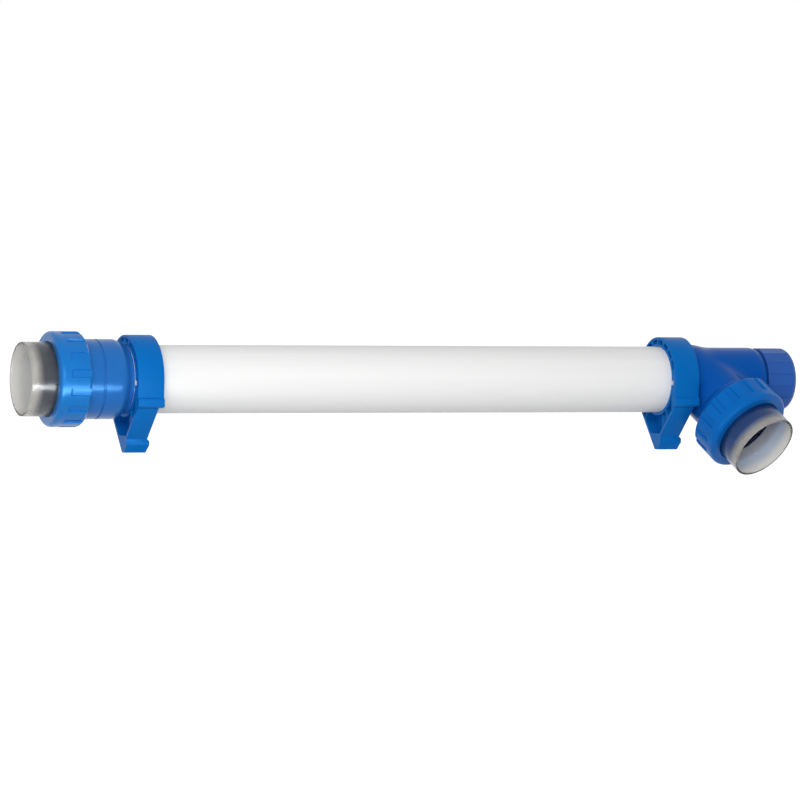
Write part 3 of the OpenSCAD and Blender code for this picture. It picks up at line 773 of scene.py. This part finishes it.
# %% Inlet adaptor
COLLAR_R = PIPE_R + 7.5
SHOULDER_R = PIPE_R + 1
COLLAR_END = -NECK_LEN - 18
BARREL_END = COLLAR_END - 24
ADAPTOR_ROOT = INLET_AXIS[0][0] / MM + PIPE_END
GLUE_GAP = 0.15
SPIGOT_R = PIPE_R - PIPE_WALL - GLUE_GAP
SPIGOT_LEN = 40.0
SPIGOT_BORE = 36.0
GROOVE_DEPTH, GROOVE_WIDTH, GROOVE_LEAN = 1.8, 3.0, 0.4
RING_PLAY = 0.1
SEAT_IN = RING_SEAT_R - RING_R - RING_PLAY
SEAT_OUT = RING_SEAT_R + RING_R + RING_PLAY
SHOULDER_DROP, SHOULDER_RUN = 5.0, 14.0
BORE_FROM_TO = (30.0, 34.0)


def neck_thread(radius, along, angle):
    """The neck's thread, on the rows of its root only."""
    on_root = np.abs(radius - THREAD_ROOT) < 0.01
    return radius + on_root * thread(along, angle, -NECK_LEN + 1, -1.5)


def neck_face():
    """Corners of the neck's face with the seat of its ring, from the bore outwards."""
    return [
        (FLOW_R, -FACE_GAP, 0.4),
        (SEAT_IN, -FACE_GAP, 0.2),
        (SEAT_IN, -RING_DEPTH, 0.2),
        (SEAT_OUT, -RING_DEPTH, 0.2),
        (SEAT_OUT, -FACE_GAP, 0.2),
        (THREAD_ROOT, -FACE_GAP, 0.5),
        (THREAD_ROOT, -NECK_LEN, 0.4),
    ]


def adaptor_outline():
    """Neck, collar, groove, barrel, rounding, shoulder, spigot and the bore."""
    return finer(rounded(neck_face() + [
        (COLLAR_R, -NECK_LEN, 1.0),
        (COLLAR_R, COLLAR_END, 0.9),
        (COLLAR_R - GROOVE_DEPTH, COLLAR_END - GROOVE_LEAN, 0.4),
        (COLLAR_R - GROOVE_DEPTH, COLLAR_END - GROOVE_WIDTH + GROOVE_LEAN, 0.4),
        (COLLAR_R, COLLAR_END - GROOVE_WIDTH, 0.9),
        (COLLAR_R, BARREL_END - SHOULDER_DROP, 9),
        (SHOULDER_R, BARREL_END - SHOULDER_RUN, 5),
        (SHOULDER_R, ADAPTOR_ROOT, 0.6),
        (SPIGOT_R, ADAPTOR_ROOT, 0.3),
        (SPIGOT_R, ADAPTOR_ROOT - SPIGOT_LEN, 1),
        (SPIGOT_BORE, ADAPTOR_ROOT - SPIGOT_LEN, 1),
        (SPIGOT_BORE, ADAPTOR_ROOT + BORE_FROM_TO[0], 3),
        (FLOW_R, ADAPTOR_ROOT + BORE_FROM_TO[1], 3),
    ]), THREAD_STEP)


adaptor = turned("inlet_adaptor", adaptor_outline(), INLET_AXIS, shape=neck_thread)
piece(adaptor, "inlet_adaptor", adaptor_blue)

# %% [markdown]
# ## Outlet tee
# The run of the tee goes on from the pipe and ends in the cap's thread, and a branch leaves it down and to
# the front. Both are turned solids, and booleans join them and bore them out. The mould has a fillet where
# they meet. A Bevel would fail where the two skins run into each other at a flat angle, so the skin's
# points are moved on to a soft minimum of the two cylinders instead.

# %% Outlet tee
RUN_R = PIPE_R - 1
BEAD_R = PIPE_R + 3
BEAD_END = PIPE_END + 16
TAPER_END = BEAD_END + 18
NECK_END = span("outlet_tee")[1][0]
NECK_START = NECK_END - 26
RUN_END = NECK_START - 9
CAP_ROOT = 36.5
CAP_NECK_BORE = 32.5
branch_start = np.array(JOINT["outlet_nut_turn"]["pos_m"])
REACH = np.linalg.norm(OUTLET_AXIS[0] - branch_start) / MM
BRANCH_R = RUN_R - 0.5
BRANCH_BORE = FLOW_R - 0.5
BLEND = 24.0
BLEND_ROUNDS = 4
BLEND_STOP = -NECK_LEN - 13
BLEND_FROM = PIPE_END + 2
NEWTON_STEPS = 5
RELAX = 0.5
SKIN = 0.05
SLIVER = 0.3


def run_outline():
    """The run's outside, from the spigot in the pipe to the cap's neck, closed on the axis."""
    return finer(rounded([
        (0, PIPE_END - SPIGOT_LEN, 0),
        (SPIGOT_R, PIPE_END - SPIGOT_LEN, 1),
        (SPIGOT_R, PIPE_END, 0.2),
        (BEAD_R, PIPE_END, 1.6),
        (BEAD_R, BEAD_END, 6),
        (RUN_R, TAPER_END, 8),
        (RUN_R, RUN_END, 3),
        (CAP_ROOT + 4.5, NECK_START, 0.6),
        (CAP_ROOT, NECK_START, 0.4),
        (CAP_ROOT, NECK_END, 0.8),
        (0, NECK_END, 0),
    ]), THREAD_STEP)


def cap_thread(radius, along, angle):
    """The cap's thread, on the rows of the neck's root only."""
    on_root = np.abs(radius - CAP_ROOT) < 0.01
    return radius + on_root * thread(along, angle, NECK_START + 1.5, NECK_END - 1)


def run_bore_outline():
    """The water way through the run, which narrows at the cap's neck."""
    return rounded([
        (0, PIPE_END - SPIGOT_LEN - 1, 0),
        (SPIGOT_BORE, PIPE_END - SPIGOT_LEN - 1, 0),
        (SPIGOT_BORE, PIPE_END, 2),
        (FLOW_R, PIPE_END + 4, 2),
        (FLOW_R, RUN_END - 8, 3),
        (CAP_NECK_BORE, RUN_END, 3),
        (CAP_NECK_BORE, NECK_END + 1, 0),
        (0, NECK_END + 1, 0),
    ])


def branch_outline():
    """The branch's outside, from the run's axis to the neck's face, closed on the branch's own axis."""
    return finer(rounded([(0, -FACE_GAP, 0)] + neck_face()[1:] + [
        (COLLAR_R - 2.5, -NECK_LEN, 0.8),
        (COLLAR_R - 2.5, -NECK_LEN - 8, 2.5),
        (BRANCH_R, -NECK_LEN - 12, 2.5),
        (BRANCH_R, -REACH, 0),
        (0, -REACH, 0),
    ]), THREAD_STEP)


def branch_bore_outline():
    """The water way through the branch."""
    return rounded([(0, 1, 0), (BRANCH_BORE, 1, 0), (BRANCH_BORE, -REACH, 0), (0, -REACH, 0)])


def combine(base, mesh, operation):
    """The base mesh joined with, or cut by, the other one."""
    first = bpy.data.objects.new("first", base)
    second = bpy.data.objects.new("second", mesh)
    for thing in (first, second):
        bpy.context.scene.collection.objects.link(thing)
    boolean = first.modifiers.new("boolean", "BOOLEAN")
    boolean.object = second
    boolean.operation = operation
    boolean.solver = "EXACT"
    evaluated = first.evaluated_get(bpy.context.evaluated_depsgraph_get())
    result = bpy.data.meshes.new_from_object(evaluated)
    for thing in (first, second):
        bpy.data.objects.remove(thing)
    return clean(result)


def behind_pipe_end():
    """A wide disc that takes away what lies on the pipe's side of its end."""
    wide, deep = 3 * PIPE_R, PIPE_END - 4 * PIPE_R
    return rounded([(0, deep, 0), (wide, deep, 0), (wide, PIPE_END, 0), (0, PIPE_END, 0)])


def run_radius(along):
    """The run's radius at a distance along it, read from its outline."""
    outline = run_outline()
    skin = outline[(outline[:, 1] > PIPE_END + 1.7) & (outline[:, 0] > RUN_R - 1)]
    return np.interp(along, skin[:, 1], skin[:, 0])


def branch_radius(along):
    """The branch's radius, which is the same all along."""
    return BRANCH_R + 0 * along


def outside(points, place, radius):
    """How far points lie outside a cylinder, the way straight out of it, and their place along its axis."""
    origin, axis = place[0] / MM, place[1]
    along = (points - origin) @ axis
    way = points - origin - along[:, None] * axis
    reach = np.linalg.norm(way, axis=1)
    return reach - radius(along), way / np.maximum(reach, MERGE)[:, None], along


def join_zone(points):
    """Which points lie near the join, which of them on a skin, and the fillet's width at each.

    The width is BLEND where the ways out of the two cylinders are square to each other. It shrinks to
    nothing where they agree, so the sides stay flush, and at the pipe's end.
    """
    a, out_a, _ = outside(points, PIPE_AXIS, run_radius)
    b, out_b, along = outside(points, OUTLET_AXIS, branch_radius)
    width = BLEND * np.clip(1 - np.sum(out_a * out_b, axis=1), 0, 1) + MERGE
    width = width * step_up(points[:, 0], PIPE_END, TAPER_END) + MERGE
    near = (np.abs(a - b) < width) & (along > -REACH) & (along < BLEND_STOP)
    near &= points[:, 0] > BLEND_FROM
    return near, np.minimum(np.abs(a), np.abs(b)) < SKIN, width


def to_fillet(spots, width):
    """Steps the spots along the gradient of the soft minimum until it is zero.

    With a and b the distances outside the two cylinders, the soft minimum is min(a, b) less the square of
    (width - |a - b|), where positive, over four widths.
    """
    for _ in range(NEWTON_STEPS):
        a, out_a, _ = outside(spots, PIPE_AXIS, run_radius)
        b, out_b, _ = outside(spots, OUTLET_AXIS, branch_radius)
        overlap = np.clip(width - np.abs(a - b), 0, None)
        field = np.minimum(a, b) - overlap ** 2 / (4 * width)
        share = np.clip(0.5 + 0.5 * (b - a) / width, 0, 1)[:, None]
        slope = share * out_a + (1 - share) * out_b
        spots = spots - field[:, None] * slope / np.sum(slope ** 2, axis=1, keepdims=True)
    return spots


def relaxed(points, edges, zone):
    """The zone's points, moved by RELAX of the way to the mean of their neighbours."""
    total = np.zeros_like(points)
    np.add.at(total, edges[:, 0], points[edges[:, 1]])
    np.add.at(total, edges[:, 1], points[edges[:, 0]])
    count = np.bincount(edges.ravel(), minlength=len(points))
    return points[zone] + RELAX * (total[zone] / count[zone, None] - points[zone])


def soften_join(mesh):
    """Moves the skin out to a fillet where the run and the branch meet.

    In each round the points near the join step on to the fillet, and between the rounds they relax towards
    their neighbours, which evens the mesh.
    """
    work = bmesh.new()
    work.from_mesh(mesh)
    bmesh.ops.dissolve_degenerate(work, edges=work.edges, dist=SLIVER * MM)
    bmesh.ops.triangulate(work, faces=work.faces)
    work.to_mesh(mesh)
    work.free()
    points = mesh_points(mesh) / MM
    edges = np.empty(2 * len(mesh.edges), np.int32)
    mesh.edges.foreach_get("vertices", edges)
    for turn in range(BLEND_ROUNDS):
        near, on_skin, width = join_zone(points)
        zone = np.flatnonzero(near & on_skin) if turn == 0 else zone[near[zone]]
        points[zone] = to_fillet(points[zone], width[zone])
        if turn < BLEND_ROUNDS - 1:
            points[zone] = relaxed(points, edges.reshape(-1, 2), zone)
    mesh.vertices.foreach_set("co", (MM * points).ravel())
    print("tee: fillet over", len(zone), "points")
    return clean(mesh)


tee = turned("outlet_tee", run_outline(), PIPE_AXIS, shape=cap_thread)
branch = turned("branch", branch_outline(), OUTLET_AXIS, shape=neck_thread)
branch = combine(branch, turned("pipe_side", behind_pipe_end(), PIPE_AXIS), "DIFFERENCE")
tee = soften_join(combine(tee, branch, "UNION"))
tee = combine(tee, turned("run_bore", run_bore_outline(), PIPE_AXIS), "DIFFERENCE")
tee = combine(tee, turned("branch_bore", branch_bore_outline(), OUTLET_AXIS), "DIFFERENCE")
piece(tee, "outlet_tee", tee_blue)

# %% [markdown]
# ## End cap
# The screw cap over the lamp's end has sixteen flats, with a fine groove along each corner, and a large
# rounding at its end. A sixteen-sided cylinder would keep hard corners round that end, so the radius is the
# smaller of the turned outline's and the polygon's, which is the distance to a flat over the cosine of the
# angle from its middle.

# %% End cap
cap_low, cap_high = span("end_cap")
CAP_START, CAP_END = cap_low[0], cap_high[0]
CAP_FLATS = 16
CAP_APOTHEM = 43.0
CAP_CORNER = CAP_APOTHEM / math.cos(math.pi / CAP_FLATS)
CAP_ROUND = 14.0
CAP_BORE = 38.3
CAP_SEAT = NECK_END + 5
CAP_GROOVE = 0.7
GROOVE_SHARE = (0.92, 0.995)
GROOVE_FADE = (CAP_CORNER - 12, CAP_CORNER - 4)
GLAND_HOLE_R = 8.0
GLAND_RECESS_R, GLAND_RECESS_DEPTH = 16.0, 8.0
CAP_END_WALL = 4.0
CAP_INSIDE_R = 36.0
FLAT_COLUMNS = np.array([-11.25, -10.9, -10.4, -9.6, -7, -3.5, 0, 3.5, 7, 9.6, 10.4, 10.9])


def cap_angles():
    """The columns of one flat, crowded at its corners, repeated round the cap, in radians."""
    pitch = 360 / CAP_FLATS
    return np.radians((pitch * np.arange(CAP_FLATS)[:, None] + FLAT_COLUMNS).ravel())


def cap_shape(radius, along, angle):
    """Cuts the outside to the flats, less the groove at the corners, and leaves the inside round."""
    half = np.pi / CAP_FLATS
    off = np.mod(angle + half, 2 * half) - half
    flat = CAP_APOTHEM / np.cos(off)
    groove = CAP_GROOVE * step_up(np.abs(off) / half, *GROOVE_SHARE)
    cut = np.minimum(radius, flat) - groove * step_up(radius, *GROOVE_FADE)
    return np.where(radius > CAP_BORE + 0.5, cut, radius)


def cap_outline():
    """Skirt, rounded end, the recess round the gland, its wall and the threaded bore."""
    recess_floor = CAP_END - GLAND_RECESS_DEPTH
    inside_end = recess_floor - CAP_END_WALL
    return finer(rounded([
        (CAP_BORE, CAP_START, 0.3),
        (CAP_CORNER - 1, CAP_START, 0.3),
        (CAP_CORNER, CAP_START + 1.2, 0.6),
        (CAP_CORNER, CAP_END, CAP_ROUND),
        (GLAND_RECESS_R, CAP_END, 1.2),
        (GLAND_RECESS_R, recess_floor, 0.8),
        (GLAND_HOLE_R, recess_floor, 0.3),
        (GLAND_HOLE_R, inside_end, 0.3),
        (CAP_INSIDE_R, inside_end, 0.5),
        (CAP_INSIDE_R, CAP_SEAT, 0.3),
        (CAP_BORE, CAP_SEAT, 0.3),
    ], steps=8), 1.6)


cap = turned("end_cap", cap_outline(), PIPE_AXIS, cap_angles(), cap_shape)
piece(cap, "end_cap", cap_blue)

# %% [markdown]
# ## Pipe clips: straps
# A strap is a moulded band that goes over the pipe from its hinge to a snap leg in front. Its sides are
# hollowed into pockets with ribs between them. Sixteen booleans could cut the pockets. Here the strap is
# one section carried along a path: the section's pocket depth drops to nothing at each rib, and its inner
# and outer faces change where the arch becomes the leg and the leg grows its lip.

# %% Straps
CLIP_HALF = 18.0
STRAP_IN = PIPE_R + 0.3
STRAP_OUT = STRAP_IN + 12.7
LEG_IN = 51.6
LEG_OUT = 57.0
LIP_OUT = STRAP_OUT + 2
strap_foot = span("left_strap")[0][2] - PIPE_AXIS[0][2] / MM
LIP_TOP = strap_foot + 12
POCKETS = 8
POCKET_FROM = 14.0
POCKET_PITCH = 19.0
POCKET_WALL = 3.5
POCKET_DEPTH = 13.0
HINGE_Y = JOINT["left_strap_open"]["pos_m"][1] / MM
KNUCKLE_R = 6.0
KNUCKLE_HALF = 7.5
PIN_BORE_R = 2.55


def band(name, centre_x, station):
    """Carries the strap's section along its path.

    A station is (angle, drop, inner, outer, half width, pocket depth). The section is a bar from the inner
    to the outer radius with a pocket in each side; its point (x, n) goes to n (cos angle, sin angle) in Y
    and Z, then down by the drop. The first and last section are closed to their middle.
    """
    angle, drop, inner, outer, half, pocket = (column[:, None] for column in np.array(station, float).T)
    wall = np.minimum(POCKET_WALL, 0.4 * (outer - inner))
    across = np.hstack([-half, half, half, half - pocket, half - pocket, half,
                        half, -half, -half, pocket - half, pocket - half, -half])
    radial = np.hstack([outer, outer, outer - wall, outer - wall, inner + wall, inner + wall,
                        inner, inner, inner + wall, inner + wall, outer - wall, outer - wall])
    fillet = np.array([1.2, 1.2, 0.5, 0.4, 0.4, 0.5, 0.7, 0.7, 0.5, 0.4, 0.4, 0.5]) + 0 * across
    section = rounded(np.stack([across, radial, fillet], axis=-1), steps=4)
    middle = section.mean(axis=1, keepdims=True) + 0 * section
    section = np.concatenate([middle[:1], section, middle[-1:]])
    angle = np.radians(np.concatenate([angle[:1], angle, angle[-1:]]))
    drop = np.concatenate([drop[:1], drop, drop[-1:]])
    x, n = section[..., 0], section[..., 1]
    points = np.stack([x, n * np.cos(angle), n * np.sin(angle) - drop], axis=-1)
    return surface(name, MM * (points + [centre_x, 0, PIPE_AXIS[0][2] / MM]), closed_rows=False)


def arch_stations():
    """From the hinge over the pipe to the front: the pockets' walls are pairs of close stations."""
    offsets = np.array([1.6, 2.3, 5, 9.5, 14, 16.7, 17.4])
    depth = POCKET_DEPTH * np.array([0, 1, 1, 1, 1, 1, 0])
    pockets = (POCKET_FROM + POCKET_PITCH * np.arange(POCKETS)[:, None] + offsets).ravel()
    angles = np.concatenate([[7.6, 8.2, 11], pockets, [170, 175, 180]])
    depths = np.concatenate([[0, 0, 0], np.tile(depth, POCKETS), [0, 0, 0]])
    inset = np.zeros_like(angles)
    inset[0] = 0.5
    ones = np.ones_like(angles)
    return np.column_stack([
        angles, 0 * ones, STRAP_IN + inset, STRAP_OUT - inset, CLIP_HALF - inset, depths,
    ])


def leg_stations():
    """Down the front: the step off the pipe, the leg, its lip and the rounded end."""
    at_lip = np.array([-1.2, -0.6, 0, 0.6, 5]) - LIP_TOP
    at_foot = np.array([-2.4, -1.6, -0.4, 0]) - strap_foot
    drop = np.concatenate([[0.3, 0.7, 4, 9, 14, 19], at_lip, at_foot])
    taper = LEG_OUT + np.array([0.9, 0.5, 0.2, 0, 0, 0.4])
    lip = LIP_OUT - np.array([0.9, 0, 0, 0, 0.6])
    outer = np.concatenate([[STRAP_OUT, STRAP_OUT], taper, lip, [LEG_OUT - 0.4, LEG_OUT - 1]])
    inner = np.where(drop < 0.5, STRAP_IN, LEG_IN)
    ones = np.ones_like(drop)
    half = CLIP_HALF - 0.5 * (drop > -strap_foot - 0.2)
    return np.column_stack([180 * ones, drop, inner, outer, half, 0 * ones])


def tongue_stations():
    """The narrow part of the arch that reaches the hinge between the saddle's knuckles."""
    angles = np.array([0.0, 3, 6, 9])
    ones = np.ones_like(angles)
    half = (KNUCKLE_HALF - 0.1) * ones
    return np.column_stack([angles, 0 * ones, STRAP_IN * ones, STRAP_OUT * ones, half, 0 * ones])


def knuckle(name, centre_x):
    """The strap's hinge barrel, bored for the pin."""
    place = axes((centre_x * MM, HINGE_Y * MM, PIPE_AXIS[0][2]), (1, 0, 0), (0, 1, 0))
    return turned(name, rounded([
        (PIN_BORE_R, -KNUCKLE_HALF, 0.4),
        (KNUCKLE_R, -KNUCKLE_HALF, 0.8),
        (KNUCKLE_R, KNUCKLE_HALF, 0.8),
        (PIN_BORE_R, KNUCKLE_HALF, 0.4),
    ]), place, TURN[::4])


def together(name, meshes):
    """One mesh that holds all the shells."""
    work = bmesh.new()
    for mesh in meshes:
        work.from_mesh(mesh)
    joined = bpy.data.meshes.new(name)
    work.to_mesh(joined)
    work.free()
    joined.shade_smooth()
    joined.set_sharp_from_angle(angle=SHARP)
    return joined


for side in ("left", "right"):
    clip_x = JOINT[side + "_strap_open"]["pos_m"][0] / MM
    shells = [
        band("arch", clip_x, np.vstack([arch_stations(), leg_stations()])),
        band("tongue", clip_x, tongue_stations()),
        knuckle("knuckle", clip_x),
    ]
    piece(together(side + "_strap", shells), side + "_strap", clip_blue)

# %% [markdown]
# ## Pipe clips: saddles
# The saddle is a web with sloping plates, ribs, a boss and knuckles, all moulded as one. Its solid in the
# frame already has every wall in place. Making each plate again would only repeat it, so its mesh is
# copied, its flat faces are made whole, and a Bevel rounds each edge as the mould does.

# %% Saddles
EDGE_ROUND = 0.5
EDGE_ANGLE = math.radians(35)
FLAT_ANGLE = math.radians(0.5)


def moulded_copy(node):
    """A copy of a node's mesh with its points merged and its flat faces made whole."""
    mesh = frame["nodes"][node].data.copy()
    work = bmesh.new()
    work.from_mesh(mesh)
    bmesh.ops.remove_doubles(work, verts=work.verts, dist=MERGE)
    bmesh.ops.dissolve_limit(work, angle_limit=FLAT_ANGLE, verts=work.verts, edges=work.edges)
    work.to_mesh(mesh)
    work.free()
    mesh.shade_smooth()
    mesh.set_sharp_from_angle(angle=SHARP)
    return mesh


def round_edges(made):
    """Rounds the edges of an object that are sharper than EDGE_ANGLE."""
    bevel = made.modifiers.new("moulded_edges", "BEVEL")
    bevel.limit_method = "ANGLE"
    bevel.angle_limit = EDGE_ANGLE
    bevel.width = EDGE_ROUND * MM
    bevel.segments = 2


for side in ("left", "right"):
    made = piece(moulded_copy(side + "_saddle"), side + "_saddle", clip_blue)
    round_edges(made)
    finish_node(side + "_strap_pin", hinge_steel)

# %% [markdown]
# ## Inside pieces
# The lamp, its sleeve, the flange and the seals show only when the cap is off or through the clear tails.
# Their solids already have the right shape, so they keep it and take their finishes.

# %% Inside pieces
INSIDE = {
    seal_rubber: ["inlet_union_seal", "outlet_union_seal", "sleeve_seal", "flange_seal", "gland_seal"],
    quartz: ["quartz_sleeve"],
    lamp_glass: ["lamp_glass"],
    lamp_ceramic: ["lamp_far_cap", "lamp_base", "lamp_socket"],
    white_moulding: ["sleeve_support", "sleeve_flange", "sleeve_nut"],
    contact_metal: ["lamp_pins"],
    gland_black: ["gland_body", "gland_nut"],
}
for material, nodes in INSIDE.items():
    for node in nodes:
        finish_node(node, material)
print("inside:", sum(len(nodes) for nodes in INSIDE.values()), "nodes dressed")
